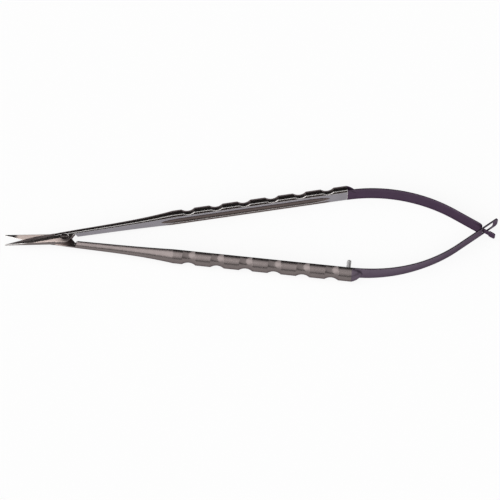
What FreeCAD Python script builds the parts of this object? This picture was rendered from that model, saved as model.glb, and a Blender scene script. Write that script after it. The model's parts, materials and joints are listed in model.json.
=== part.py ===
# Micro scissors with half-round scalloped grips, a lap joint and a pair of leaf springs.
# Millimetres. X runs from the blade tips to the springs, Y across the two arms, Z up.
# The scissors lie on the undersides of their grips, as far open as the springs hold them.
# Each arm and leaf is drawn with the arm's inner face on Y = 0 and the pivot at X = 0.
import FreeCAD
import Part

import math
import os
from types import SimpleNamespace

import Sketcher

# Driving dimensions: lengths and radii in millimetres, angles in degrees.
SIZES = {
    # how the arms meet
    "open_half_angle": 8.25,
    "face_offset": 1.15,
    "lap_gap": 0.03,
    # section of the arms: a circle, a flat inner face and a bevel on both its edges
    "flat_angle": 11.8,
    "bevel_angle": 3.5,
    "bevel_slope": 59.0,
    # shank and grip
    "shank_end": 22.0,
    "shank_end_radius": 2.29,
    "flare_middle": 34.0,
    "flare_middle_radius": 2.77,
    "grip_start": 46.3,
    "grip_radius": 3.76,
    "arm_end": 121.0,
    # scallops across the outside of the grip
    "scallop_count": 6,
    "scallop_first": 53.0,
    "scallop_pitch": 11.95,
    "scallop_arc": 4.78,
    "scallop_core": 3.16,
    "scallop_axis": 0.39,
    # hollow milled along the inner face
    "hollow_start": 40.7,
    "hollow_end": 113.7,
    "hollow_runout": 9.0,
    "hollow_radius": 2.6,
    "hollow_depth": 0.6,
    # lap joint
    "lap_height": 1.98,
    "boss_radius": 2.5,
    "web_angle": 47.0,
    "lap_front": 4.0,
    "shoulder_start": 4.8,
    "shoulder_slant": 1.6,
    # blade
    "back_angle": 8.0,
    "edge_line": 1.98,
    "edge_start": 12.4,
    "blade_length": 25.2,
    "tip_width": 0.453,
    "root_height": 1.45,
    "tip_height": 0.45,
    "front_land": 1.0,
    "root_land": 0.2,
    "tip_land": 0.1,
    "front_bevel": 1.7,
    "root_bevel": 2.3,
    "tip_bevel": 0.24,
    "front_lean": 0.27,
    "root_lean": 0.05,
    "tip_lean": 0.02,
    "wall_lean": 0.15,
    # pivot screw
    "screw_radius": 0.9,
    "screw_fit": 0.03,
    "thread_fit": 0.01,
    "head_radius": 1.6,
    "head_height": 0.8,
    "head_fit": 0.06,
    "driver_width": 0.5,
    "driver_depth": 0.4,
    # stop pin
    "pin_radius": 0.9,
    "pin_place": 119.4,
    "pin_reach": 4.9,
    "pin_seat": 2.2,
    "pin_fit": 0.01,
    "pin_chamfer": 0.25,
    # leaf springs
    "leaf_thickness": 0.6,
    "leaf_offset": 0.6,
    "leaf_bend_radius": 62.0,
    "leaf_turn": 43.75,
    "stub_length": 4.4,
    "stub_arc": 6.5,
    "tee_leaf_width": 7.2,
    "slot_leaf_width": 6.8,
    "loop_width": 5.3,
    "narrowing_start": 128.0,
    "narrowing_end": 150.0,
    "neck_width": 2.4,
    "neck_back": 0.9,
    "neck_front": 2.7,
    "tee_width": 3.5,
    "tee_front": 5.5,
    "tee_corner": 0.6,
    "slot_width": 4.1,
    "slot_back": 1.6,
    "slot_front": 5.4,
    "loop_front": 7.6,
    "loop_corner": 1.2,
}


class Size:
    """A number together with the sheet expression that gives it."""

    def __init__(self, value, text):
        self.value = value
        self.text = text

    def __add__(self, other):
        other = sized(other)
        return Size(self.value + other.value, f"({self.text} + {other.text})")

    def __sub__(self, other):
        other = sized(other)
        return Size(self.value - other.value, f"({self.text} - {other.text})")

    def __mul__(self, other):
        other = sized(other)
        return Size(self.value * other.value, f"({self.text} * {other.text})")

    def __truediv__(self, other):
        other = sized(other)
        return Size(self.value / other.value, f"({self.text} / {other.text})")

    def __neg__(self):
        return 0.0 - self

    def __radd__(self, other):
        return sized(other) + self

    def __rsub__(self, other):
        return sized(other) - self

    def __rmul__(self, other):
        return sized(other) * self


def sized(number):
    if isinstance(number, Size):
        return number
    return Size(float(number), repr(float(number)))


def sine(angle):
    return Size(math.sin(math.radians(angle.value)), f"sin({angle.text})")


def cosine(angle):
    return Size(math.cos(math.radians(angle.value)), f"cos({angle.text})")


def make_sheet(doc):
    """Spreadsheet with a named cell for each driving dimension."""
    sheet = doc.addObject("Spreadsheet::Sheet", "Sizes")
    for row, (alias, value) in enumerate(SIZES.items(), start=1):
        sheet.set(f"A{row}", alias)
        sheet.set(f"B{row}", str(value))
        sheet.setAlias(f"B{row}", alias)
    doc.recompute()
    return SimpleNamespace(
        **{alias: Size(float(sheet.get(alias)), f"Sizes.{alias}") for alias in SIZES})


# Sketches

def bind(item, prop, size):
    """Gives a property its value and ties it to the sheet."""
    size = sized(size)
    setattr(item, prop, size.value)
    item.setExpression(prop, size.text)


def bind_constraint(sketch, *constraint, size):
    """Adds a dimension to a sketch and ties it to the sheet."""
    size = sized(size)
    index = sketch.addConstraint(Sketcher.Constraint(*constraint, size.value))
    sketch.setExpression(f"Constraints[{index}]", size.text)


def new_sketch(body, name, role, offset=0.0, turn=0.0, place=0.0):
    """Sketch on an origin plane of the body, lifted by an offset along the plane's normal.

    With a turn it also swings about its own upright axis, from a place along its X axis.
    """
    plane = next(item for item in body.Origin.OriginFeatures if item.Role == role)
    sketch = body.newObject("Sketcher::SketchObject", name)
    sketch.AttachmentSupport = [(plane, "")]
    sketch.MapMode = "FlatFace"
    offset = sized(offset)
    place = sized(place)
    sketch.AttachmentOffset = FreeCAD.Placement(
        FreeCAD.Vector(place.value, 0, offset.value),
        FreeCAD.Rotation(FreeCAD.Vector(0, 1, 0), sized(turn).value))
    sketch.setExpression("AttachmentOffset.Base.x", place.text)
    sketch.setExpression("AttachmentOffset.Base.z", offset.text)
    return sketch


def pin_point(sketch, geometry, position, x, y):
    """Fixes one point of a sketch element by its two coordinates."""
    bind_constraint(sketch, "DistanceX", -1, 1, geometry, position, size=x)
    bind_constraint(sketch, "DistanceY", -1, 1, geometry, position, size=y)


def draw_edge(sketch, start, corner):
    """Adds the straight or round edge that ends at a corner.

    Returns its index and the positions of its start and end.
    """
    a = FreeCAD.Vector(sized(start[0]).value, sized(start[1]).value, 0)
    b = FreeCAD.Vector(sized(corner[0]).value, sized(corner[1]).value, 0)
    if len(corner) == 2:
        return sketch.addGeometry(Part.LineSegment(a, b), False), 1, 2
    radius = corner[2].value
    chord = b - a
    left = FreeCAD.Vector(-chord.y, chord.x, 0).normalize()
    rise = math.sqrt(radius ** 2 - (chord.Length / 2) ** 2)
    centre = (a + b) / 2 + left * math.copysign(rise, radius)
    first, last = (a, b) if radius > 0 else (b, a)
    angles = [math.atan2((p - centre).y, (p - centre).x) for p in (first, last)]
    circle = Part.Circle(centre, FreeCAD.Vector(0, 0, 1), abs(radius))
    index = sketch.addGeometry(Part.ArcOfCircle(circle, *angles), False)
    size = corner[2] if radius > 0 else -corner[2]
    bind_constraint(sketch, "Radius", index, size=size)
    return (index, 1, 2) if radius > 0 else (index, 2, 1)


def draw(sketch, corners):
    """Closed outline through corners of (x, y) or (x, y, radius).

    A radius makes the edge that ends there an arc: it turns left if positive, right if not.
    """
    edges = [draw_edge(sketch, corners[i - 1], corner) for i, corner in enumerate(corners)]
    for edge, following, corner in zip(edges, edges[1:] + edges[:1], corners):
        sketch.addConstraint(Sketcher.Constraint(
            "Coincident", edge[0], edge[2], following[0], following[1]))
        pin_point(sketch, edge[0], edge[2], corner[0], corner[1])


def draw_twice(sketch, corners):
    """The outline and its mirror image below the sketch's X axis."""
    draw(sketch, corners)
    mirrored = [(c[0], -sized(c[1]), *(-r for r in c[2:])) for c in corners]
    draw(sketch, mirrored)


def draw_circle(sketch, x, y, radius):
    circle = Part.Circle(
        FreeCAD.Vector(sized(x).value, sized(y).value, 0), FreeCAD.Vector(0, 0, 1), radius.value)
    index = sketch.addGeometry(circle, False)
    pin_point(sketch, index, 3, x, y)
    bind_constraint(sketch, "Radius", index, size=radius)


def draw_axis(sketch, start, end):
    """Construction line to turn a profile about."""
    points = [FreeCAD.Vector(sized(x).value, sized(y).value, 0) for x, y in (start, end)]
    index = sketch.addGeometry(Part.LineSegment(*points), True)
    pin_point(sketch, index, 1, *start)
    pin_point(sketch, index, 2, *end)


# Features

def new_body(doc, name):
    body = doc.addObject("PartDesign::Body", name)
    body.Label = name
    return body


def feature(body, kind, name, sketch):
    item = body.newObject(f"PartDesign::{kind}", name)
    item.Profile = sketch
    return item


def pad(body, name, sketch, length, both_ways=False):
    item = feature(body, "Pad", name, sketch)
    bind(item, "Length", length)
    item.Midplane = both_ways
    return item


def pocket(body, name, sketch, length, both_ways=False, reversed_way=False):
    """Cut that has to take something away."""
    before = body.Shape.Volume
    item = feature(body, "Pocket", name, sketch)
    bind(item, "Length", length)
    item.Midplane = both_ways
    item.Reversed = reversed_way
    return check_cut(body, item, before)


def revolve(body, name, sketch, axis, angle=360.0):
    item = feature(body, "Revolution", name, sketch)
    item.ReferenceAxis = (sketch, [axis])
    item.Angle = angle
    item.Midplane = True
    return item


def groove(body, name, sketch, axis):
    before = body.Shape.Volume
    item = feature(body, "Groove", name, sketch)
    item.ReferenceAxis = (sketch, [axis])
    item.Angle = 360.0
    return check_cut(body, item, before)


def check_cut(body, item, before):
    body.Document.recompute()
    if not item.Shape.Volume < before:
        raise RuntimeError(f"{item.Name} takes nothing away")
    return item


# Arms

def back_edge(s, x):
    """Height in the plan of the blade's back, a line that touches the boss."""
    slope = sine(s.back_angle) / cosine(s.back_angle)
    return -s.face_offset - s.boss_radius / cosine(s.back_angle) - x * slope


def tip_edge(s):
    """Height in the plan of the blade's edge at the tip."""
    return back_edge(s, -s.blade_length) + s.tip_width


def section_points(s, radius):
    """Centre of the arm's round, the bevel's outer corner and half the inner face."""
    centre = radius * sine(s.flat_angle)
    corner = centre - radius * sine(s.bevel_angle)
    height = radius * cosine(s.bevel_angle)
    face = height - corner * sine(s.bevel_slope) / cosine(s.bevel_slope)
    return SimpleNamespace(centre=centre, corner=corner, height=height, face=face)


def bar_section(s, body, label, x, radius):
    """Cross-section of the arm: more than half a circle, flat inside, edges bevelled."""
    points = section_points(s, radius)
    sketch = new_sketch(body, f"{body.Name}_{label}", "YZ_Plane", offset=x)
    draw(sketch, [
        (0.0, -points.face),
        (points.corner, -points.height),
        (points.centre + radius, 0.0, radius),
        (points.corner, points.height, radius),
        (0.0, points.face),
    ])
    return sketch


def make_bar(s, body):
    """Bar of the arm: slim at the joint, flaring into the grip."""
    front_radius = s.edge_line / (1 + sine(s.flat_angle))
    front = bar_section(s, body, "bar_front", -s.lap_front, front_radius)
    shank = bar_section(s, body, "shank_end", s.shank_end, s.shank_end_radius)
    flare = bar_section(s, body, "flare_middle", s.flare_middle, s.flare_middle_radius)
    flare_end = bar_section(s, body, "flare_end", s.grip_start, s.grip_radius)
    bar = feature(body, "AdditiveLoft", body.Name + "_shank", front)
    bar.Sections = [shank, flare, flare_end]
    body.Document.recompute()
    grip = bar_section(s, body, "grip_section", s.grip_start, s.grip_radius)
    pad(body, body.Name + "_grip", grip, s.arm_end - s.grip_start)
    body.Document.recompute()


def make_lap(s, body):
    """Plate of the lap joint, round about the pivot and webbed to the inner face."""
    front_back = back_edge(s, -s.lap_front)
    sin_back, cos_back = sine(s.back_angle), cosine(s.back_angle)
    sin_web, cos_web = sine(s.web_angle), cosine(s.web_angle)
    web_y = -s.face_offset - s.boss_radius * cos_web
    web_foot = s.boss_radius * sin_web - web_y * cos_web / sin_web
    plan = new_sketch(body, body.Name + "_lap_plan", "XY_Plane")
    draw(plan, [
        (-s.lap_front, 0.0),
        (-s.lap_front, front_back),
        (-s.boss_radius * sin_back, -s.face_offset - s.boss_radius * cos_back),
        (s.boss_radius * sin_web, web_y, s.boss_radius),
        (web_foot, 0.0),
    ])
    pad(body, body.Name + "_lap", plan, s.lap_height)
    body.Document.recompute()


def blade_section(s, body, label, x, edge, height, land, bevel, lean):
    """Cross-section of the blade: a low land at the edge, a bevel up to the ridge, a back."""
    sketch = new_sketch(body, f"{body.Name}_{label}", "YZ_Plane", offset=x)
    back = back_edge(s, x)
    draw(sketch, [
        (edge, 0.0),
        (edge - lean, land),
        (edge - bevel, height),
        (back + s.wall_lean * height, height),
        (back, 0.0),
    ])
    return sketch


def make_blade(s, body):
    """Blade that tapers in width and height from the joint to the tip."""
    front = blade_section(s, body, "blade_front", -s.lap_front, s.edge_line, s.lap_height,
                          s.front_land, s.front_bevel, s.front_lean)
    root = blade_section(s, body, "blade_root", -s.edge_start, s.edge_line, s.root_height,
                         s.root_land, s.root_bevel, s.root_lean)
    tip = blade_section(s, body, "blade_tip", -s.blade_length, tip_edge(s), s.tip_height,
                        s.tip_land, s.tip_bevel, s.tip_lean)
    blade = feature(body, "AdditiveLoft", body.Name + "_blade", front)
    blade.Sections = [root, tip]
    blade.Ruled = True
    body.Document.recompute()


def cut_lap(s, body):
    """Takes away the half in front of the shoulder that the other arm fills."""
    face = s.lap_gap / 2
    below = -s.grip_radius
    ahead = -s.blade_length - s.grip_radius
    side = new_sketch(body, body.Name + "_shoulder_side", "XZ_Plane")
    draw(side, [
        (ahead, face),
        (ahead, below),
        (s.shoulder_start + s.shoulder_slant, below),
        (s.shoulder_start, face),
    ])
    pocket(body, body.Name + "_shoulder", side, 4 * s.grip_radius, both_ways=True)


def cut_scallops(s, body):
    """Round-bottomed hollows turned across the grip, deepest on its outer side."""
    profile = new_sketch(body, body.Name + "_scallop_profile", "XY_Plane")
    draw_axis(profile, (0.0, s.scallop_axis), (s.arm_end, s.scallop_axis))
    draw_circle(profile, s.scallop_first, s.scallop_axis - s.scallop_core - s.scallop_arc,
                s.scallop_arc)
    first = groove(body, body.Name + "_scallop", profile, "Axis0")
    row = body.newObject("PartDesign::LinearPattern", body.Name + "_scallops")
    row.Originals = [first]
    row.Direction = (profile, ["H_Axis"])
    bind(row, "Length", (s.scallop_count - 1) * s.scallop_pitch)
    row.Occurrences = int(s.scallop_count.value)
    row.setExpression("Occurrences", s.scallop_count.text)
    body.Tip = row
    check_cut(body, row, first.Shape.Volume)


def cut_hollow(s, body):
    """Long shallow hollow in the inner face that runs out to a point at both ends."""
    axis = s.hollow_depth - s.hollow_radius
    runout = (s.hollow_runout * s.hollow_runout / s.hollow_depth + s.hollow_depth) / 2
    profile = new_sketch(body, body.Name + "_hollow_profile", "XY_Plane")
    draw_axis(profile, (s.hollow_start, axis), (s.hollow_end, axis))
    draw(profile, [
        (s.hollow_start, axis),
        (s.hollow_end, axis),
        (s.hollow_end, 0.0),
        (s.hollow_end - s.hollow_runout, s.hollow_depth, runout),
        (s.hollow_start + s.hollow_runout, s.hollow_depth),
        (s.hollow_start, 0.0, runout),
    ])
    groove(body, body.Name + "_hollow", profile, "Axis0")


def make_arm(s, doc, name):
    body = new_body(doc, name)
    make_bar(s, body)
    cut_hollow(s, body)
    make_lap(s, body)
    make_blade(s, body)
    cut_lap(s, body)
    cut_scallops(s, body)
    return body


def cut_pivot_hole(s, body, radius):
    plan = new_sketch(body, body.Name + "_pivot_plan", "XY_Plane")
    draw_circle(plan, 0.0, -s.face_offset, radius)
    pocket(body, body.Name + "_pivot_hole", plan, 4 * s.grip_radius, both_ways=True)


def make_over_arm(s, doc):
    """Far arm, whose blade lies on top: it turns on the screw and takes its head."""
    body = make_arm(s, doc, "over_arm")
    cut_pivot_hole(s, body, s.screw_radius + s.screw_fit)
    seat = new_sketch(body, "over_arm_head_plan", "XY_Plane",
                      offset=s.lap_height - s.head_height)
    draw_circle(seat, 0.0, -s.face_offset, s.head_radius + s.head_fit)
    pocket(body, "over_arm_head_seat", seat, s.grip_radius, reversed_way=True)
    return body


def make_under_arm(s, doc):
    """Near arm, whose blade lies below: it holds the screw's thread and the stop pin."""
    body = make_arm(s, doc, "under_arm")
    cut_pivot_hole(s, body, s.screw_radius + s.thread_fit)
    side = new_sketch(body, "under_arm_pin_side", "XZ_Plane")
    draw_circle(side, s.pin_place, 0.0, s.pin_radius + s.pin_fit)
    pocket(body, "under_arm_pin_hole", side, s.pin_seat)
    return body


# Screw and pin

def make_pivot_screw(s, doc):
    """Slotted screw, flush with the top of one arm and the underside of the other."""
    body = new_body(doc, "pivot_screw")
    top = s.lap_height
    profile = new_sketch(body, "screw_profile", "XZ_Plane")
    draw(profile, [
        (0.0, -top),
        (s.screw_radius, -top),
        (s.screw_radius, top - s.head_height),
        (s.head_radius, top - s.head_height),
        (s.head_radius, top),
        (0.0, top),
    ])
    revolve(body, "screw_turned", profile, "V_Axis")
    doc.recompute()
    reach = s.head_radius + s.head_fit
    plan = new_sketch(body, "screw_driver_plan", "XY_Plane", offset=top)
    draw(plan, [
        (-reach, -s.driver_width / 2),
        (reach, -s.driver_width / 2),
        (reach, s.driver_width / 2),
        (-reach, s.driver_width / 2),
    ])
    pocket(body, "screw_driver_slot", plan, s.driver_depth)
    return body


def make_stop_pin(s, doc):
    """Turned pin pressed into the near grip, which stops the other grip."""
    body = new_body(doc, "stop_pin")
    side = s.pin_place + s.pin_radius
    profile = new_sketch(body, "pin_profile", "XY_Plane")
    draw_axis(profile, (s.pin_place, -s.pin_reach), (s.pin_place, s.pin_seat))
    draw(profile, [
        (s.pin_place, s.pin_seat),
        (s.pin_place, -s.pin_reach),
        (side - s.pin_chamfer, -s.pin_reach),
        (side, s.pin_chamfer - s.pin_reach),
        (side, s.pin_seat),
    ])
    revolve(body, "pin_turned", profile, "Axis0")
    doc.recompute()
    return body


# Leaf springs

def leaf_course(s):
    """Where the leaf's bend ends, and how far beyond that the two leaves cross."""
    bend_x = s.arm_end + s.leaf_bend_radius * sine(s.leaf_turn)
    bend_y = s.leaf_offset - s.leaf_bend_radius * (1 - cosine(s.leaf_turn))
    sin_open, cos_open = sine(s.open_half_angle), cosine(s.open_half_angle)
    aside = (bend_y + s.face_offset) * cos_open + bend_x * sin_open
    crossing = aside / sine(s.leaf_turn - s.open_half_angle)
    return SimpleNamespace(bend_x=bend_x, bend_y=bend_y, crossing=crossing)


def make_stub(s, body):
    """Stub of the grip's own section, turned down to the strip in a hollow curve."""
    points = section_points(s, s.grip_radius)
    foot = s.arm_end + s.stub_length
    profile = new_sketch(body, body.Name + "_stub_profile", "XY_Plane")
    draw_axis(profile, (s.arm_end, points.centre), (foot, points.centre))
    draw(profile, [
        (s.arm_end, points.centre),
        (foot, points.centre),
        (foot, s.leaf_offset + s.leaf_thickness / 2),
        (s.arm_end, points.centre + s.grip_radius, s.stub_arc),
    ])
    revolve(body, body.Name + "_stub", profile, "Axis0")
    body.Document.recompute()
    inside = new_sketch(body, body.Name + "_stub_inside", "YZ_Plane", offset=s.arm_end)
    beyond = 2 * points.height - points.face
    draw(inside, [
        (0.0, -points.face),
        (0.0, points.face),
        (2 * points.corner, beyond),
        (-s.grip_radius, beyond),
        (-s.grip_radius, -beyond),
        (2 * points.corner, -beyond),
    ])
    pocket(body, body.Name + "_stub_face", inside, s.stub_length, reversed_way=True)


def make_leaf(s, doc, name, width, front):
    """Bent strip on a stub that meets the end of the grip."""
    body = new_body(doc, name)
    make_stub(s, body)
    course = leaf_course(s)
    half = s.leaf_thickness / 2
    inner, outer = s.leaf_bend_radius - half, s.leaf_bend_radius + half
    sin_turn, cos_turn = sine(s.leaf_turn), cosine(s.leaf_turn)
    length = course.crossing + front

    def along(side, distance):
        """Point of the straight run, on the leaf's inner or outer side."""
        return (course.bend_x + side * sin_turn + distance * cos_turn,
                course.bend_y + side * cos_turn - distance * sin_turn)

    plan = new_sketch(body, name + "_plan", "XY_Plane")
    draw(plan, [
        (*along(-half, 0.0), -inner),
        along(-half, length),
        along(half, length),
        along(half, 0.0),
        (s.arm_end, s.leaf_offset + half, outer),
        (s.arm_end, s.leaf_offset - half),
    ])
    pad(body, name + "_strip", plan, width, both_ways=True)
    doc.recompute()
    return body


def end_sketch(s, body, name):
    """Sketch square to the leaf's straight run, with its origin where the bend ends."""
    course = leaf_course(s)
    return new_sketch(body, name, "XZ_Plane", offset=-course.bend_y, turn=-s.leaf_turn,
                      place=course.bend_x)


def make_tee_leaf(s, doc):
    """Leaf of the far arm: a neck and a head that go through the other leaf's slot."""
    body = make_leaf(s, doc, "tee_leaf", s.tee_leaf_width, s.tee_front)
    crossing = leaf_course(s).crossing
    beyond = crossing + s.tee_front + s.leaf_thickness
    side = end_sketch(s, body, "tee_side")
    draw_twice(side, [
        (crossing - s.neck_back, s.neck_width / 2),
        (crossing + s.neck_front, s.neck_width / 2),
        (crossing + s.neck_front, s.tee_width / 2),
        (crossing + s.tee_front - s.tee_corner, s.tee_width / 2),
        (beyond, s.tee_width / 2 - s.tee_corner - s.leaf_thickness),
        (beyond, s.tee_leaf_width),
        (crossing - s.neck_back, s.tee_leaf_width),
    ])
    pocket(body, "tee_outline", side, s.slot_leaf_width, both_ways=True)
    return body


def make_slotted_leaf(s, doc):
    """Leaf of the near arm: it narrows, and ends in a slotted loop."""
    body = make_leaf(s, doc, "slotted_leaf", s.slot_leaf_width, s.loop_front)
    course = leaf_course(s)
    rear = course.bend_x + course.crossing + s.loop_front
    narrowing = new_sketch(body, "narrowing_side", "XZ_Plane")
    draw_twice(narrowing, [
        (s.narrowing_start, s.slot_leaf_width / 2),
        (s.narrowing_end, s.loop_width / 2),
        (rear, s.loop_width / 2),
        (rear, s.slot_leaf_width),
        (s.narrowing_start, s.slot_leaf_width),
    ])
    pocket(body, "narrowing", narrowing, 2 * s.arm_end, both_ways=True)
    front = course.crossing + s.loop_front
    side = end_sketch(s, body, "loop_side")
    draw(side, [
        (course.crossing - s.slot_back, -s.slot_width / 2),
        (course.crossing + s.slot_front, -s.slot_width / 2),
        (course.crossing + s.slot_front, s.slot_width / 2),
        (course.crossing - s.slot_back, s.slot_width / 2),
    ])
    draw_twice(side, [
        (front - s.loop_corner, s.loop_width / 2, s.loop_corner),
        (front - s.loop_corner, s.slot_leaf_width),
        (front + s.loop_corner, s.slot_leaf_width),
        (front + s.loop_corner, s.loop_width / 2 - s.loop_corner),
        (front, s.loop_width / 2 - s.loop_corner),
    ])
    pocket(body, "loop_slot", side, s.slot_leaf_width, both_ways=True)
    return body


# Assembly

def place(s, body, flipped):
    """Turns an arm, pin or leaf about the pivot, face up or flipped to the near side."""
    course = leaf_course(s)
    sin_open, cos_open = sine(s.open_half_angle), cosine(s.open_half_angle)
    turn = s.leaf_turn - s.open_half_angle
    bend = course.bend_x * cos_open - (course.bend_y + s.face_offset) * sin_open
    rear = (bend + (course.crossing + s.loop_front) * cosine(turn)
            + s.leaf_thickness / 2 * sine(turn))
    tip = -s.blade_length * cos_open - (tip_edge(s) + s.face_offset) * sin_open
    middle = (rear + tip) / 2
    if flipped is None:
        base = (-middle, sized(0.0), s.grip_radius)
        rotation = FreeCAD.Rotation()
    else:
        side = s.face_offset * cos_open
        base = (-middle - s.face_offset * sin_open, -side if flipped else side, s.grip_radius)
        angle = -s.open_half_angle.value if flipped else s.open_half_angle.value
        rotation = FreeCAD.Rotation(FreeCAD.Vector(0, 0, 1), angle)
        if flipped:
            rotation = rotation * FreeCAD.Rotation(FreeCAD.Vector(1, 0, 0), 180)
    body.Placement = FreeCAD.Placement(FreeCAD.Vector(*(b.value for b in base)), rotation)
    for axis, value in zip("xyz", base):
        body.setExpression(f"Placement.Base.{axis}", value.text)


def check(doc, bodies):
    """Stops at a failed object or an unsound solid."""
    for item in doc.Objects:
        if {"Invalid", "Error"} & set(item.State):
            raise RuntimeError(f"{item.Name}: {item.State}")
    for body in bodies:
        shape = body.Shape
        if shape.isNull() or not shape.isValid() or len(shape.Solids) != 1:
            raise RuntimeError(f"{body.Label}: not one sound solid")


def main():
    doc = FreeCAD.newDocument("micro_scissors")
    s = make_sheet(doc)
    far = [make_over_arm(s, doc), make_tee_leaf(s, doc)]
    near = [make_under_arm(s, doc), make_stop_pin(s, doc), make_slotted_leaf(s, doc)]
    screw = make_pivot_screw(s, doc)
    for body in far:
        place(s, body, flipped=False)
    for body in near:
        place(s, body, flipped=True)
    place(s, screw, flipped=None)
    doc.recompute()
    bodies = far + near + [screw]
    check(doc, bodies)
    os.makedirs("parts", exist_ok=True)
    for body in bodies:
        body.Shape.exportStep(os.path.join("parts", body.Label + ".step"))


main()
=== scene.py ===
import json
import math

import bpy
from bpy.props import FloatProperty, FloatVectorProperty, IntProperty, PointerProperty
from mathutils import Matrix, Vector


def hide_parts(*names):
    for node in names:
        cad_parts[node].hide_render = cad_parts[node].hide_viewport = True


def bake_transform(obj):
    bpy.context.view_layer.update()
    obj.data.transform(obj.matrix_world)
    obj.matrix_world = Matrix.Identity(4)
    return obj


bl_info = {
    "name": "Micro Scissors",
    "version": (1, 0, 0),
    "blender": (4, 5, 0),
    "location": "View3D > Sidebar > Micro Scissors",
    "description": "Leaf springs, steel finishes and a studio for a pair of micro scissors",
    "category": "Object",
}

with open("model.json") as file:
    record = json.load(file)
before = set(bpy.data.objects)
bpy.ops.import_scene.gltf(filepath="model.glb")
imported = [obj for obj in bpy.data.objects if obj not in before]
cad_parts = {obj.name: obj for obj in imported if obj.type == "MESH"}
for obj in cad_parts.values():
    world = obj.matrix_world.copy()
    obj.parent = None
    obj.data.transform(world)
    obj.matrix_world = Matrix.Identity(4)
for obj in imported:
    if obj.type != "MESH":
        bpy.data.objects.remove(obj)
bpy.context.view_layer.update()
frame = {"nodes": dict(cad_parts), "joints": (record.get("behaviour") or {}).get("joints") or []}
PIVOT = Vector(next(j["pos_m"] for j in frame["joints"] if j["name"] == "pivot"))
UP = (0.0, 0.0, 1.0)
WHITE = (1.0, 1.0, 1.0, 1.0)

# Modelling
NEAR = 1e-5                         # a point this close counts as on the spot
TINY = 1e-6                         # points this close are merged
CORNER_STEPS = 4                    # facets round a corner of the tee or a shoulder
LOOP_STEPS = 5                      # facets round a corner of the loop or the slot
SHOULDER_STEPS = 10                 # facets along the stub's hollow curve
ROUND_STEPS = 64                    # facets round the stub
EDGE_STEPS = 2                      # facets across a softened edge
SHARP_ANGLE = math.radians(40)      # edges sharper than this are softened
SMOOTH_ANGLE = math.radians(32)     # edges flatter than this are shaded smooth
CUTTER_DEPTH = 0.004                # thickness of the block that cuts the slot

# Steel. Scales of the noise are cells to a metre.
BROAD_NOISE = {"scale": 180.0, "detail": 4.0, "roughness": 0.6}
GRAIN_NOISE = {"scale": 2600.0, "detail": 2.0, "stretch": (9.0, 1.0, 1.0)}
SPECK_NOISE = {"scale": 1400.0, "roughness": 0.65}
PLAIN_TONE, BROAD_TONE, GRAIN_TONE = 0.8, 0.25, 0.15    # shares of the colour
ROUGHNESS_SPREAD = 0.12             # between the smoothest and the roughest specks
MATT_ROUGHNESS = 0.3                # added on the tops of the blades
BUMP_STRENGTH = 0.12
SPECK_HEIGHT = 0.6                  # height of the specks beside the grain
ARM_GRAIN, LEAF_GRAIN = 0.00002, 0.00003                # height of the grain
EDGE_SAMPLES, EDGE_RADIUS = 8, 0.00032                  # rounding of edges in the shading
EDGE_TURN = (0.998, 0.97)           # cosine of an edge's turn, for no painted highlight and for a full painted highlight
# Dark tint of reflections at grazing angles: painted shade that keeps the white floor out of the
# outer edges of the rounds.
SPECULAR_TINT = (0.35, 0.33, 0.35, 1.0)

# Finish of an arm, with its painted shade, painted highlights and painted sheen. Each pair says
# where a change starts and where it is complete.
FLAT_DEPTH = (0.00002, 0.00006)     # distance from the inner face
FLAT_FACING = (0.9, 0.98)           # cosine to the inner face
HOLLOW_DEPTH = (0.00004, 0.0001)    # distance from the inner face where the hollow's painted shade starts
HOLLOW_FLOOR = (0.00062, 0.0007)    # distance from the inner face where the hollow's painted shade ends
HOLLOW_FACING = (0.55, 0.7)         # cosine to the inner face
SHADED_STRIP_START = (0.042, 0.045)          # distance along the arm where the painted shade on the strip under the hollow starts
SHADED_STRIP_END = (0.112, 0.114)            # distance along the arm where that painted shade ends
SHADED_STRIP_TOP = (0.0019, 0.0022)          # height of the strip with that painted shade
BLADE_ROOT = (-0.004, 0.003)        # distance along the arm where the pale top of a blade, a painted sheen, starts
BLADE_FADE = (-0.001, 0.0015)       # change about the end of the pale top
BLADE_SIDE_FADE = 0.0003            # width of the change at the side of the pale top
BLADE_FACING = (0.7, 0.95)          # cosine to the upright
HIGHLIGHT_DEPTH = (0.0009, 0.0013)     # distance from the inner face where the painted highlights on the edges end
# For each arm, the end of the pale top, with its painted sheen, along the arm, and its side
# across the inner face.
PALE_TOPS = {"over_arm": (-0.013, 0.0013), "under_arm": (-0.0208, -0.01)}

# Studio
FLOOR_RADIUS, FLOOR_DROP = 12.0, 0.00002
FLOOR_COLOUR = (0.97, 0.97, 0.97, 1.0)
FLOOR_GLOW = 0.86                   # share of its own white that the floor shows
ROOM_FRONT = (-0.17, 0.06)          # change from the room behind to the room in front
ROOM_HEIGHT = (0.12, 0.4)           # change from the low part of the room to the rest
SUN_PLACE = (-0.5, -0.2, 0.5)
SUN_TURN = (math.radians(10), math.radians(-60), 0)
SUN_WIDTH = math.radians(100)       # width of the sun as the object sees it
SENSOR_WIDTH = 36.0                 # in millimetres
CLIP_START, CLIP_END = 0.01, 50.0


# Settings

def length(name, description, default):
    return FloatProperty(name=name, description=description, default=default,
                         unit="LENGTH", subtype="DISTANCE", precision=5)


def angle(name, description, degrees):
    return FloatProperty(name=name, description=description, default=math.radians(degrees),
                         unit="ROTATION", subtype="ANGLE")


def share(name, description, default):
    return FloatProperty(name=name, description=description, default=default,
                         min=0.0, max=1.0, subtype="FACTOR")


def tint(name, description, default):
    return FloatVectorProperty(name=name, description=description, default=default,
                               min=0.0, max=1.0, size=3, subtype="COLOR")


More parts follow.
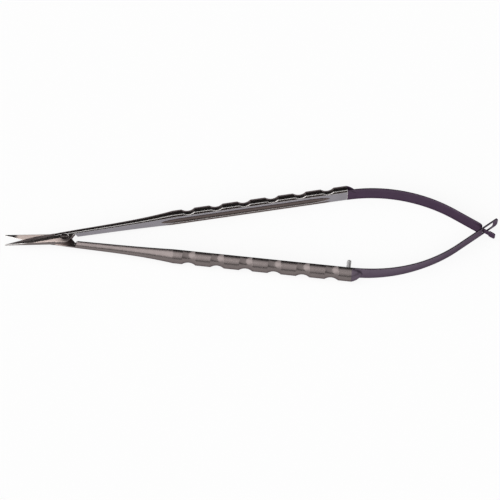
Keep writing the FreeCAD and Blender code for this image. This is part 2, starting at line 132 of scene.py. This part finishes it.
class LeafSettings(bpy.types.PropertyGroup):
    """Sizes of the two leaf springs, measured on an arm whose inner face lies on Y = 0."""
    open_half_angle: angle("Open Half Angle", "Angle of each arm to the middle at rest", 8.25)
    face_offset: length("Face Offset", "Inner face to the pivot, square to the arm", 0.00115)
    arm_end: length("Arm End", "Pivot to the end of the grip", 0.121)
    grip_radius: length("Grip Radius", "Radius of the grip's round", 0.00376)
    flat_angle: angle("Flat Angle", "Angle that sets the round off from the flat", 11.8)
    bevel_angle: angle("Bevel Angle", "Where the bevel begins, from the top of the round", 3.5)
    bevel_slope: angle("Bevel Slope", "Slope of the bevel beside the flat", 59.0)
    thickness: length("Leaf Thickness", "Thickness of the spring strip", 0.0006)
    offset: length("Leaf Offset", "Inner face to the middle of the strip", 0.0006)
    bend_radius: length("Bend Radius", "Radius of the strip's bend", 0.062)
    turn: angle("Leaf Turn", "How far the strip turns inwards", 43.75)
    run: length("Straight Run", "End of the bend to where the strips cross", 0.01414)
    stub_length: length("Stub Length", "Length of the stub behind the grip", 0.0044)
    stub_arc: length("Stub Arc", "Radius of the stub's shoulder", 0.0065)
    edge_round: length("Edge Rounding", "Rounding of the strip's edges", 0.00011)
    tee_leaf_width: length("Tee Leaf Width", "Width of the strip with the tee", 0.0072)
    neck_width: length("Neck Width", "Width of the tee's neck", 0.0024)
    neck_back: length("Neck Back", "Crossing back to the strip's shoulder", 0.0009)
    neck_front: length("Neck Front", "Crossing on to the tee's head", 0.0027)
    tee_width: length("Tee Width", "Width of the tee's head", 0.0035)
    tee_front: length("Tee Front", "Crossing on to the end of the tee", 0.0055)
    tee_corner: length("Tee Corner", "Rounding of the tee's corners", 0.0011)
    shoulder_corner: length("Shoulder Corner", "Rounding of the strip's shoulders", 0.0014)
    slot_leaf_width: length("Slotted Leaf Width", "Width of the slotted strip", 0.0068)
    loop_width: length("Loop Width", "Width of the loop at its end", 0.0053)
    narrowing_start: length("Narrowing Start", "Pivot to where the strip narrows", 0.128)
    narrowing_end: length("Narrowing End", "Pivot to the end of the narrowing", 0.150)
    slot_width: length("Slot Width", "Width of the slot", 0.0041)
    slot_back: length("Slot Back", "Crossing back to the slot's end", 0.0009)
    slot_front: length("Slot Front", "Crossing on to the slot's end", 0.0054)
    slot_corner: length("Slot Corner", "Rounding of the slot's corners", 0.0009)
    loop_front: length("Loop Front", "Crossing on to the end of the loop", 0.0076)
    loop_corner: length("Loop Corner", "Rounding of the loop's corners", 0.0013)
    flex_end: length("Flex End", "Pivot to where the strip has its full turn", 0.158)
    bend_steps: IntProperty(name="Bend Steps", description="Facets along the bend",
                            default=40, min=8)


class FinishSettings(bpy.types.PropertyGroup):
    """Colours and roughness of the steel, including painted shade, painted highlights, a painted
    sheen and painted light on the near spring.
    """
    arm_colour: tint("Arm Colour", "Satin steel of the arms", (0.185, 0.158, 0.154))
    flat_colour: tint("Flat Colour", "Ground flats inside the arms", (0.3, 0.285, 0.31))
    # Painted shade in the grip's hollow and on the strip below it.
    hollow_shade_colour: tint("Hollow Shade Colour", "Painted shade in the hollow of a grip and on the strip below it", (0.12, 0.095, 0.09))
    # Painted highlight along the edges, mixed into the colour.
    edge_highlight_colour: tint("Edge Highlight Colour", "Painted highlight along the edges", (0.95, 0.92, 0.9))
    # Painted sheen on the tops of the blades, paler than the steel.
    blade_sheen_colour: tint("Blade Sheen Colour", "Painted sheen on the matt ground tops of the blades", (1.0, 0.85, 0.79))
    leaf_colour: tint("Leaf Colour", "Dark finish of the springs", (0.085, 0.058, 0.09))
    # Painted light: a lighter copy of the spring colour for the near spring.
    near_lit_colour: tint("Near Leaf Lit Colour", "Painted light on the near spring: a lighter copy of the spring colour", (0.14, 0.11, 0.145))
    pin_colour: tint("Pin Colour", "Bare ground steel", (0.62, 0.61, 0.61))
    arm_roughness: share("Arm Roughness", "Roughness of the arms", 0.27)
    leaf_roughness: share("Leaf Roughness", "Roughness of the springs", 0.4)
    pin_roughness: share("Pin Roughness", "Roughness of the stop pin", 0.6)


class StudioSettings(bpy.types.PropertyGroup):
    """Floor, light and camera."""
    azimuth: angle("Camera Azimuth", "Turn of the camera about the object", -1.4)
    elevation: angle("Camera Elevation", "Height of the camera above the horizon", 59.0)
    distance: length("Camera Distance", "Camera to its target", 0.8)
    view_width: length("View Width", "Width of the view at the target", 0.21)
    target_x: length("Target X", "Where the camera points", -0.0009)
    target_drop: length("Target Drop", "How far below the pivot line the view is centred", 0.0062)
    sun_strength: FloatProperty(name="Sun Strength", description="Strength of the main light",
                                default=2.4, min=0.0)
    sky_front: share("Sky Front", "Brightness of the room in front", 1.0)
    sky_back: share("Sky Back", "Brightness of the room behind", 0.04)
    sky_low: share("Sky Low", "Share of the brightness that is left near the horizon", 0.15)


class ScissorsSettings(bpy.types.PropertyGroup):
    """All settings of the scissors."""
    leaf: PointerProperty(type=LeafSettings)
    finish: PointerProperty(type=FinishSettings)
    studio: PointerProperty(type=StudioSettings)


# Shader maths

class Value:
    """One output of a shader node, written in plain arithmetic."""

    def __init__(self, shader, socket):
        self.shader = shader
        self.socket = socket

    def maths(self, operation, *values):
        return self.shader.add("ShaderNodeMath", {"operation": operation},
                               dict(enumerate(values)))

    def __add__(self, other):
        return self.maths("ADD", self, other)

    def __radd__(self, other):
        return self.maths("ADD", other, self)

    def __sub__(self, other):
        return self.maths("SUBTRACT", self, other)

    def __rsub__(self, other):
        return self.maths("SUBTRACT", other, self)

    def __mul__(self, other):
        return self.maths("MULTIPLY", self, other)

    def __rmul__(self, other):
        return self.maths("MULTIPLY", other, self)

    def __abs__(self):
        return self.maths("ABSOLUTE", self)

    def larger(self, other):
        """The larger of two values."""
        return self.maths("MAXIMUM", self, other)

    def ramp(self, low, high, start=0.0, end=1.0):
        """Rises smoothly from start to end as the value goes from low to high."""
        return self.shader.add("ShaderNodeMapRange", {"interpolation_type": "SMOOTHSTEP"}, {
            "Value": self, "From Min": low, "From Max": high, "To Min": start, "To Max": end})


class Shader:
    """The node tree of a material or a world."""

    def __init__(self, owner):
        owner.use_nodes = True
        self.tree = owner.node_tree
        self.tree.nodes.clear()

    def add(self, kind, settings=None, inputs=None, output=0):
        """Adds a node with its settings, then its sockets' values or links."""
        node = self.tree.nodes.new(kind)
        for key, value in (settings or {}).items():
            setattr(node, key, value)
        for key, value in (inputs or {}).items():
            if isinstance(value, Value):
                self.tree.links.new(value.socket, node.inputs[key])
            elif value is not None:
                node.inputs[key].default_value = value
        return Value(self, node.outputs[output]) if len(node.outputs) else None

    def mix(self, factor, first, second):
        """Mixes two colours, which are sockets 6 and 7 of the node, and socket 2 the result."""
        return self.add("ShaderNodeMix", {"data_type": "RGBA"},
                        {0: factor, 6: rgba(first), 7: rgba(second)}, output=2)

    def place(self):
        """Object coordinates, in metres."""
        return self.add("ShaderNodeTexCoord", output="Object")

    def dot(self, first, second):
        """Dot product of two vectors."""
        return self.add("ShaderNodeVectorMath", {"operation": "DOT_PRODUCT"},
                        {0: first, 1: second}, output="Value")

    def facing(self, direction):
        """Cosine between the surface and a direction, both as the piece lies at rest."""
        return self.dot(self.add("ShaderNodeTexCoord", output="Normal"), direction)

    def noise(self, scale, detail=3.0, roughness=0.5, stretch=(1, 1, 1), turn=0.0):
        """Noise between 0 and 1, stretched along the piece."""
        where = self.add("ShaderNodeMapping", {"vector_type": "TEXTURE"}, {
            "Vector": self.place(), "Rotation": (0, 0, turn), "Scale": stretch})
        return self.add("ShaderNodeTexNoise", None, {
            "Vector": where, "Scale": scale, "Detail": detail, "Roughness": roughness})


def rgba(colour):
    """A colour with its alpha, unless it comes from a node."""
    return colour if isinstance(colour, Value) else (*colour[:3], 1.0)


class ArmZones:
    """Where the finish of an arm, with its painted shade, highlights and sheen, changes, by
    distance from its inner face and its pivot.
    """

    def __init__(self, leaf, finish, flipped, top_end, top_side):
        place = arm_place(leaf, flipped)
        inwards = place.to_3x3() @ Vector((0, -1, 0))
        lengthwise = place.to_3x3() @ Vector((1, 0, 0))
        self.finish = finish
        self.turn = leaf.open_half_angle * (-1 if flipped else 1)
        self.inwards, self.level = tuple(inwards), inwards.dot(place.translation)
        self.lengthwise, self.start = tuple(lengthwise), lengthwise.dot(place.translation)
        self.top_end, self.top_side = top_end, top_side

    def inside(self, shader):
        """Distance from the plane of the inner face, away from the round."""
        return shader.dot(shader.place(), self.inwards) - self.level

    def along(self, shader):
        """Distance along the arm, from the pivot towards the springs."""
        return shader.dot(shader.place(), self.lengthwise) - self.start

    def colour(self, shader):
        """Colour of the round and the ground flat, with painted shade in the hollow and on the
        strip below it, and a painted sheen on the blade's top.
        """
        depth = abs(self.inside(shader))
        facing = shader.facing(self.inwards)
        flat = (1 - depth.ramp(*FLAT_DEPTH)) * facing.ramp(*FLAT_FACING)
        # Painted shade in the hollow.
        hollow = depth.ramp(*HOLLOW_DEPTH) * (1 - depth.ramp(*HOLLOW_FLOOR))
        hollow = hollow * facing.ramp(*HOLLOW_FACING)
        along = self.along(shader)
        # Painted shade on the lower strip of the flat, under the hollow.
        shaded_strip = flat * along.ramp(*SHADED_STRIP_START) * (1 - along.ramp(*SHADED_STRIP_END))
        shaded_strip = shaded_strip * (1 - shader.dot(shader.place(), UP).ramp(*SHADED_STRIP_TOP))
        colour = shader.mix(flat, self.finish.arm_colour, self.finish.flat_colour)
        colour = shader.mix(hollow.larger(shaded_strip), colour, self.finish.hollow_shade_colour)
        # Painted sheen on the blade's top.
        return shader.mix(self.blade(shader), colour, self.finish.blade_sheen_colour)

    def blade(self, shader):
        """The matt top of the blade, which also gets a painted sheen."""
        along = self.along(shader)
        fade = [self.top_end + step for step in BLADE_FADE]
        zone = (1 - along.ramp(*BLADE_ROOT)) * along.ramp(*fade)
        side = self.inside(shader).ramp(self.top_side, self.top_side + BLADE_SIDE_FADE)
        return zone * side * shader.facing(UP).ramp(*BLADE_FACING)

    def edge_highlight_zone(self, shader):
        """The part beside the inner face, where the edges get a painted highlight."""
        return 1 - abs(self.inside(shader)).ramp(*HIGHLIGHT_DEPTH)


def steel(name, colour, roughness, grain, edge_highlight_colour=None, zones=None):
    """Satin steel: mottled colour, grain along the piece, edges rounded in the shading and, where
    asked for, a painted highlight along them.
    """
    material = bpy.data.materials.new(name)
    shader = Shader(material)
    rough = roughness + MATT_ROUGHNESS * zones.blade(shader) if zones else roughness
    broad = shader.noise(**BROAD_NOISE)
    fine = shader.noise(**GRAIN_NOISE, turn=zones.turn if zones else 0.0)
    speck = shader.noise(**SPECK_NOISE)
    tone = PLAIN_TONE + BROAD_TONE * broad + GRAIN_TONE * fine
    base = shader.add("ShaderNodeVectorMath", {"operation": "SCALE"},
                      {0: zones.colour(shader) if zones else tuple(colour), "Scale": tone})
    rounded = shader.add("ShaderNodeBevel", {"samples": EDGE_SAMPLES}, {"Radius": EDGE_RADIUS})
    if edge_highlight_colour is not None:
        true = shader.add("ShaderNodeNewGeometry", output="Normal")
        # Painted highlight where the rounded shading turns away from the true normal.
        edge = shader.dot(rounded, true).ramp(*EDGE_TURN)
        if zones:
            edge = edge * zones.edge_highlight_zone(shader)
        base = shader.mix(edge, base, edge_highlight_colour)
    bump = shader.add("ShaderNodeBump", None, {
        "Strength": BUMP_STRENGTH, "Distance": grain,
        "Height": fine + SPECK_HEIGHT * speck, "Normal": rounded})
    # The specular tint darkens reflections at grazing angles, as painted shade.
    surface = shader.add("ShaderNodeBsdfPrincipled", None, {
        "Base Color": base, "Metallic": 1.0,
        "Roughness": rough - ROUGHNESS_SPREAD / 2 + ROUGHNESS_SPREAD * speck,
        "Specular Tint": SPECULAR_TINT, "Normal": bump})
    shader.add("ShaderNodeOutputMaterial", None, {"Surface": surface})
    return material


def dress(piece, material):
    """Gives a piece one material all over."""
    piece.data.materials.clear()
    piece.data.materials.append(material)


# Modelling

def only(piece):
    """Makes a piece the one that is selected and active."""
    bpy.ops.object.select_all(action="DESELECT")
    piece.select_set(True)
    bpy.context.view_layer.objects.active = piece


def select(piece, kind, test):
    """In edit mode, selects the vertices, edges or faces that pass a test of their middle."""
    bpy.ops.mesh.select_mode(type=kind)
    bpy.ops.mesh.select_all(action="DESELECT")
    bpy.ops.object.mode_set(mode="OBJECT")
    mesh = piece.data
    if kind == "VERT":
        chosen = [(v, v.co) for v in mesh.vertices]
    elif kind == "EDGE":
        chosen = [(e, (mesh.vertices[e.vertices[0]].co + mesh.vertices[e.vertices[1]].co) / 2)
                  for e in mesh.edges]
    else:
        chosen = [(f, f.center) for f in mesh.polygons]
    found = 0
    for item, middle in chosen:
        if test(middle):
            item.select = True
            found += 1
    bpy.ops.object.mode_set(mode="EDIT")
    if not found:
        raise RuntimeError(f"{piece.name}: nothing to select")


def modify(piece, kind, **settings):
    """Adds a modifier and applies it."""
    only(piece)
    bpy.ops.object.modifier_add(type=kind)
    modifier = piece.modifiers[-1]
    for key, value in settings.items():
        setattr(modifier, key, value)
    bpy.ops.object.modifier_apply(modifier=modifier.name)


def combine(piece, other, operation):
    """Joins another piece to this one, or cuts this one with it, and removes the other."""
    modify(piece, "BOOLEAN", object=other, operation=operation, solver="EXACT")
    bpy.data.objects.remove(other)


def single_point(name, place):
    """A mesh of one vertex, in edit mode."""
    bpy.ops.object.select_all(action="DESELECT")
    bpy.ops.mesh.primitive_plane_add(size=0.001, location=place)
    piece = bpy.context.object
    piece.name = name
    bpy.ops.object.transform_apply(location=True)
    bpy.ops.object.mode_set(mode="EDIT")
    bpy.ops.mesh.select_mode(type="VERT")
    bpy.ops.mesh.select_all(action="SELECT")
    bpy.ops.mesh.merge(type="CENTER")
    return piece


def along_leaf(leaf, distance, side=0.0, height=0.0):
    """Point on the straight run of a leaf, from the end of its bend."""
    sin_turn, cos_turn = math.sin(leaf.turn), math.cos(leaf.turn)
    bend_x = leaf.arm_end + leaf.bend_radius * sin_turn
    bend_y = leaf.offset - leaf.bend_radius * (1 - cos_turn)
    return Vector((bend_x + side * sin_turn + distance * cos_turn,
                   bend_y + side * cos_turn - distance * sin_turn, height))


def leaf_distance(leaf, point):
    """How far along the straight run a point lies."""
    direction = along_leaf(leaf, 1.0) - along_leaf(leaf, 0.0)
    return (point - along_leaf(leaf, 0.0)).dot(direction)


def cut(place, normal, clear=False, fill=False):
    """Cuts the selected faces along a plane, and can clear what is in front of it."""
    bpy.ops.mesh.bisect(plane_co=place, plane_no=Vector(normal).normalized(), threshold=TINY,
                        clear_outer=clear, use_fill=fill)


def cut_sheet(place, normal):
    """Cuts the whole sheet along a plane."""
    bpy.ops.mesh.select_all(action="SELECT")
    cut(place, normal)


def bent_sheet(leaf, name, width, reach):
    """The strip as a sheet without thickness: an upright line swept round the bend."""
    start = Vector((leaf.arm_end, leaf.offset, -width / 2))
    piece = single_point(name, start)
    bpy.ops.mesh.extrude_region_move(TRANSFORM_OT_translate={"value": (0, 0, width)})
    bpy.ops.mesh.select_all(action="SELECT")
    centre = (leaf.arm_end, leaf.offset - leaf.bend_radius, 0)
    bpy.ops.mesh.spin(steps=leaf.bend_steps, angle=leaf.turn, center=centre, axis=(0, 0, 1))
    end = along_leaf(leaf, 0.0)
    if not any((v.co - end).xy.length < NEAR for v in edit_vertices(piece)):
        raise RuntimeError(f"{name}: the strip bends the wrong way")
    select(piece, "VERT", lambda c: (c - end).xy.length < NEAR)
    run = along_leaf(leaf, leaf.run + reach) - end
    bpy.ops.mesh.extrude_region_move(TRANSFORM_OT_translate={"value": run})
    return piece


def edit_vertices(piece):
    """The vertices of a piece that is being edited, brought up to date."""
    piece.update_from_editmode()
    return piece.data.vertices


def round_corners(piece, leaf, distance, width, radius, steps):
    """Rounds the sheet's two corners that lie a width apart at a distance along the leaf."""
    select(piece, "VERT", lambda c: abs(leaf_distance(leaf, c) - distance) < NEAR
           and abs(abs(c.z) - width / 2) < NEAR)
    bpy.ops.mesh.bevel(offset=radius, segments=steps, affect="VERTICES")


def finish_strip(piece, leaf):
    """Gives the sheet its thickness and softened edges."""
    bpy.ops.mesh.select_all(action="SELECT")
    bpy.ops.mesh.remove_doubles(threshold=TINY)
    bpy.ops.mesh.normals_make_consistent(inside=False)
    bpy.ops.object.mode_set(mode="OBJECT")
    modify(piece, "SOLIDIFY", thickness=leaf.thickness, offset=0.0, use_even_offset=True)
    modify(piece, "BEVEL", width=leaf.edge_round, segments=EDGE_STEPS, limit_method="ANGLE",
           angle_limit=SHARP_ANGLE)


def tee_strip(leaf):
    """Strip whose end is a neck and the head of a tee."""
    piece = bent_sheet(leaf, "tee_leaf_spring", leaf.tee_leaf_width, leaf.tee_front)
    direction = along_leaf(leaf, 1.0) - along_leaf(leaf, 0.0)
    for distance in (leaf.run - leaf.neck_back, leaf.run + leaf.neck_front):
        cut_sheet(along_leaf(leaf, distance), direction)
    for height in (leaf.neck_width / 2, leaf.tee_width / 2):
        for side in (height, -height):
            cut_sheet((0, 0, side), (0, 0, 1))

    def outside(middle):
        distance = leaf_distance(leaf, middle) - leaf.run
        if distance < -leaf.neck_back:
            return False
        half = leaf.neck_width / 2 if distance < leaf.neck_front else leaf.tee_width / 2
        return abs(middle.z) > half

    select(piece, "FACE", outside)
    bpy.ops.mesh.delete(type="FACE")
    round_corners(piece, leaf, leaf.run + leaf.tee_front, leaf.tee_width, leaf.tee_corner,
                  CORNER_STEPS)
    round_corners(piece, leaf, leaf.run - leaf.neck_back, leaf.tee_leaf_width,
                  leaf.shoulder_corner, CORNER_STEPS)
    finish_strip(piece, leaf)
    return piece


def slotted_strip(leaf):
    """Strip that narrows and ends in a slotted loop."""
    piece = bent_sheet(leaf, "slotted_leaf_spring", leaf.slot_leaf_width, leaf.loop_front)
    cut_sheet((leaf.narrowing_start, 0, 0), (1, 0, 0))
    cut_sheet((leaf.narrowing_end, 0, 0), (1, 0, 0))
    taper = (leaf.slot_leaf_width - leaf.loop_width) / 2
    span = leaf.narrowing_end - leaf.narrowing_start
    for side in (1, -1):
        select(piece, "FACE", lambda c: leaf.narrowing_start < c.x < leaf.narrowing_end)
        cut((leaf.narrowing_end, 0, side * leaf.loop_width / 2), (taper, 0, side * span))
        select(piece, "FACE", lambda c: c.x > leaf.narrowing_end)
        cut((0, 0, side * leaf.loop_width / 2), (0, 0, side))

    def outside(middle):
        back = min(max(leaf.narrowing_end - middle.x, 0.0), span)
        return abs(middle.z) > leaf.loop_width / 2 + taper * back / span + TINY

    select(piece, "FACE", outside)
    bpy.ops.mesh.delete(type="FACE")
    round_corners(piece, leaf, leaf.run + leaf.loop_front, leaf.loop_width, leaf.loop_corner,
                  LOOP_STEPS)
    finish_strip(piece, leaf)
    combine(piece, slot_cutter(leaf), "DIFFERENCE")
    return piece


def slot_cutter(leaf):
    """Block with rounded corners, as large as the slot."""
    bpy.ops.object.select_all(action="DESELECT")
    middle = leaf.run + (leaf.slot_front - leaf.slot_back) / 2
    bpy.ops.mesh.primitive_cube_add(size=1.0, location=along_leaf(leaf, middle),
                                    rotation=(0, 0, -leaf.turn))
    cutter = bpy.context.object
    cutter.scale = (leaf.slot_front + leaf.slot_back, CUTTER_DEPTH, leaf.slot_width)
    bpy.ops.object.transform_apply(scale=True, location=False, rotation=False)
    bpy.ops.object.mode_set(mode="EDIT")
    select(cutter, "EDGE", lambda c: abs(c.y) < TINY)
    bpy.ops.mesh.bevel(offset=leaf.slot_corner, segments=LOOP_STEPS, affect="EDGES")
    bpy.ops.object.mode_set(mode="OBJECT")
    bpy.ops.object.transform_apply()
    return cutter


def stub(leaf):
    """Stub of the grip's section that shrinks to the strip in a hollow curve."""
    middle = leaf.grip_radius * math.sin(leaf.flat_angle)
    top = Vector((leaf.arm_end, middle + leaf.grip_radius, 0))
    foot = Vector((leaf.arm_end + leaf.stub_length, leaf.offset + leaf.thickness / 2, 0))
    chord = foot - top
    rise = math.sqrt(leaf.stub_arc ** 2 - (chord.length / 2) ** 2)
    across = Vector((chord.y, -chord.x, 0)).normalized()
    centre = (top + foot) / 2 + across * rise
    swing = (top - centre).angle(foot - centre)
    piece = single_point("stub", top)
    bpy.ops.mesh.spin(steps=SHOULDER_STEPS, angle=swing, center=centre, axis=(0, 0, 1))
    if min((v.co - foot).length for v in edit_vertices(piece)) > NEAR:
        raise RuntimeError("stub: the shoulder turns the wrong way")
    select(piece, "VERT", lambda c: (c - foot).length < NEAR)
    bpy.ops.mesh.extrude_region_move(TRANSFORM_OT_translate={"value": (0, middle - foot.y, 0)})
    select(piece, "VERT", lambda c: (c - top).length < NEAR)
    bpy.ops.mesh.extrude_region_move(TRANSFORM_OT_translate={"value": (0, middle - top.y, 0)})
    bpy.ops.mesh.select_all(action="SELECT")
    bpy.ops.mesh.spin(steps=ROUND_STEPS, angle=2 * math.pi, center=(leaf.arm_end, middle, 0),
                      axis=(1, 0, 0))
    bpy.ops.mesh.select_all(action="SELECT")
    bpy.ops.mesh.remove_doubles(threshold=TINY)
    corner = Vector((0, middle - leaf.grip_radius * math.sin(leaf.bevel_angle),
                     leaf.grip_radius * math.cos(leaf.bevel_angle)))
    steep, flat = math.sin(leaf.bevel_slope), math.cos(leaf.bevel_slope)
    for place, normal in (((0, 0, 0), (0, -1, 0)),
                          (corner, (0, -steep, flat)),
                          ((0, corner.y, -corner.z), (0, -steep, -flat))):
        bpy.ops.mesh.select_all(action="SELECT")
        cut(place, normal, clear=True, fill=True)
    bpy.ops.mesh.select_all(action="SELECT")
    bpy.ops.mesh.normals_make_consistent(inside=False)
    bpy.ops.object.mode_set(mode="OBJECT")
    return piece


def arm_place(leaf, flipped):
    """Where an arm lies: turned about the pivot, and turned over on the near side."""
    side = -1 if flipped else 1
    place = Matrix.Translation(PIVOT) @ Matrix.Rotation(side * leaf.open_half_angle, 4, "Z")
    if flipped:
        place = place @ Matrix.Rotation(math.pi, 4, "X")
    return place @ Matrix.Translation((0, leaf.face_offset, 0))


def seat_leaf(leaf, piece, node, flipped, material):
    """Joins the stub, puts the leaf on its arm, gives it its material and hides the CAD leaf that
    it replaces.
    """
    combine(piece, stub(leaf), "UNION")
    only(piece)
    place = arm_place(leaf, flipped)
    piece.matrix_world = place
    bpy.ops.object.transform_apply()
    bpy.ops.object.shade_smooth_by_angle(angle=SMOOTH_ANGLE)
    dress(piece, material)
    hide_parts(node)
    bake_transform(piece)


# Operators

class SCISSORS_OT_springs(bpy.types.Operator):
    """Model the two leaf springs"""
    bl_idname = "scissors.springs"
    bl_label = "Leaf Springs"

    def execute(self, context):
        settings = context.scene.scissors
        leaf, finish = settings.leaf, settings.finish
        dark = steel("spring_steel", finish.leaf_colour, finish.leaf_roughness, LEAF_GRAIN)
        # The near spring gets a lighter copy of the spring steel, as painted light.
        near_lit = steel("near_spring_lit_steel", finish.near_lit_colour, finish.leaf_roughness, LEAF_GRAIN)
        seat_leaf(leaf, tee_strip(leaf), "tee_leaf",
                  False, dark)
        seat_leaf(leaf, slotted_strip(leaf), "slotted_leaf",
                  True, near_lit)
        return {"FINISHED"}


class SCISSORS_OT_arms(bpy.types.Operator):
    """Finish the two arms, the screw and the stop pin"""
    bl_idname = "scissors.arms"
    bl_label = "Arms and Pivot"

    def execute(self, context):
        settings = context.scene.scissors
        leaf, finish = settings.leaf, settings.finish
        for node, flipped in (("over_arm", False), ("under_arm", True)):
            zones = ArmZones(leaf, finish, flipped, *PALE_TOPS[node])
            # Each arm's colour holds painted shade, painted highlights and a painted sheen.
            dress(frame["nodes"][node], steel(
                node + "_steel", finish.arm_colour, finish.arm_roughness, ARM_GRAIN,
                finish.edge_highlight_colour, zones))
        dress(frame["nodes"]["pivot_screw"], steel(
            "screw_steel", finish.arm_colour, finish.arm_roughness, ARM_GRAIN))
        # The pin's edges get the painted highlight too.
        dress(frame["nodes"]["stop_pin"], steel(
            "pin_steel", finish.pin_colour, finish.pin_roughness, ARM_GRAIN,
            finish.edge_highlight_colour))
        return {"FINISHED"}


class SCISSORS_OT_studio(bpy.types.Operator):
    """Set up the floor, the light and the camera"""
    bl_idname = "scissors.studio"
    bl_label = "Studio"

    def execute(self, context):
        studio = context.scene.scissors.studio
        make_floor()
        make_light(studio)
        make_camera(studio)
        context.scene.view_settings.view_transform = "Standard"
        return {"FINISHED"}


def make_floor():
    """Pale floor that shows white and keeps the shadow."""
    bpy.ops.object.select_all(action="DESELECT")
    bpy.ops.mesh.primitive_circle_add(vertices=64, radius=FLOOR_RADIUS, fill_type="NGON",
                                      location=(0, 0, -FLOOR_DROP))
    floor = bpy.context.object
    floor.name = "floor"
    material = bpy.data.materials.new("pale_floor")
    shader = Shader(material)
    light_path = shader.tree.nodes.new("ShaderNodeLightPath")
    seen = Value(shader, light_path.outputs["Is Camera Ray"]).larger(
        Value(shader, light_path.outputs["Is Glossy Ray"])).larger(
        Value(shader, light_path.outputs["Is Transmission Ray"]))
    matt = shader.add("ShaderNodeBsdfDiffuse", None, {"Color": FLOOR_COLOUR})
    white = shader.add("ShaderNodeEmission", None, {"Color": WHITE, "Strength": 1.0})
    surface = shader.add("ShaderNodeMixShader", None, {0: FLOOR_GLOW * seen, 1: matt, 2: white})
    shader.add("ShaderNodeOutputMaterial", None, {"Surface": surface})
    dress(floor, material)


def make_light(studio):
    """A soft sun from the left, and a room that is dark behind and along the horizon."""
    world = bpy.data.worlds.new("studio_room")
    bpy.context.scene.world = world
    shader = Shader(world)
    direction = shader.add("ShaderNodeTexCoord", output="Generated")
    front = shader.dot(direction, (0.0, -1.0, 0.0))
    height = shader.dot(direction, UP)
    glow = front.ramp(*ROOM_FRONT, studio.sky_back, studio.sky_front)
    glow = glow * height.ramp(*ROOM_HEIGHT, studio.sky_low, 1.0)
    background = shader.add("ShaderNodeBackground", None, {"Color": WHITE, "Strength": glow})
    shader.add("ShaderNodeOutputWorld", None, {"Surface": background})
    bpy.ops.object.light_add(type="SUN", location=SUN_PLACE, rotation=SUN_TURN)
    sun = bpy.context.object
    sun.name = "soft_sun"
    sun.data.energy = studio.sun_strength
    sun.data.angle = SUN_WIDTH


def make_camera(studio):
    """Camera at the photograph's angle."""
    sin_a, cos_a = math.sin(studio.azimuth), math.cos(studio.azimuth)
    sin_e, cos_e = math.sin(studio.elevation), math.cos(studio.elevation)
    back = Vector((sin_a * cos_e, -cos_a * cos_e, sin_e))
    up = Vector((-sin_a * sin_e, cos_a * sin_e, cos_e))
    target = Vector((studio.target_x, 0, PIVOT.z)) - up * studio.target_drop
    bpy.ops.object.camera_add(location=target + back * studio.distance)
    camera = bpy.context.object
    camera.name = "camera"
    camera.rotation_euler = (-back).to_track_quat("-Z", "Y").to_euler()
    camera.data.sensor_width = SENSOR_WIDTH
    camera.data.lens = SENSOR_WIDTH * studio.distance / studio.view_width
    camera.data.clip_start = CLIP_START
    camera.data.clip_end = CLIP_END
    bpy.context.scene.camera = camera


class SCISSORS_PT_panel(bpy.types.Panel):
    """Builds the scissors piece by piece"""
    bl_idname = "SCISSORS_PT_panel"
    bl_label = "Micro Scissors"
    bl_space_type = "VIEW_3D"
    bl_region_type = "UI"
    bl_category = "Micro Scissors"

    def draw(self, context):
        settings = context.scene.scissors
        for title, group, operator in (
                ("Leaf springs", settings.leaf, SCISSORS_OT_springs),
                ("Steel", settings.finish, SCISSORS_OT_arms),
                ("Studio", settings.studio, SCISSORS_OT_studio)):
            box = self.layout.box()
            box.label(text=title)
            for name in group.__annotations__:
                box.prop(group, name)
            box.operator(operator.bl_idname)


CLASSES = (
    LeafSettings,
    FinishSettings,
    StudioSettings,
    ScissorsSettings,
    SCISSORS_OT_springs,
    SCISSORS_OT_arms,
    SCISSORS_OT_studio,
    SCISSORS_PT_panel,
)


def register():
    for item in CLASSES:
        bpy.utils.register_class(item)
    bpy.types.Scene.scissors = PointerProperty(type=ScissorsSettings)


def unregister():
    del bpy.types.Scene.scissors
    for item in reversed(CLASSES):
        bpy.utils.unregister_class(item)


def main():
    register()
    bpy.ops.scissors.studio()
    bpy.ops.scissors.springs()
    bpy.ops.scissors.arms()


if __name__ == "__main__":
    main()
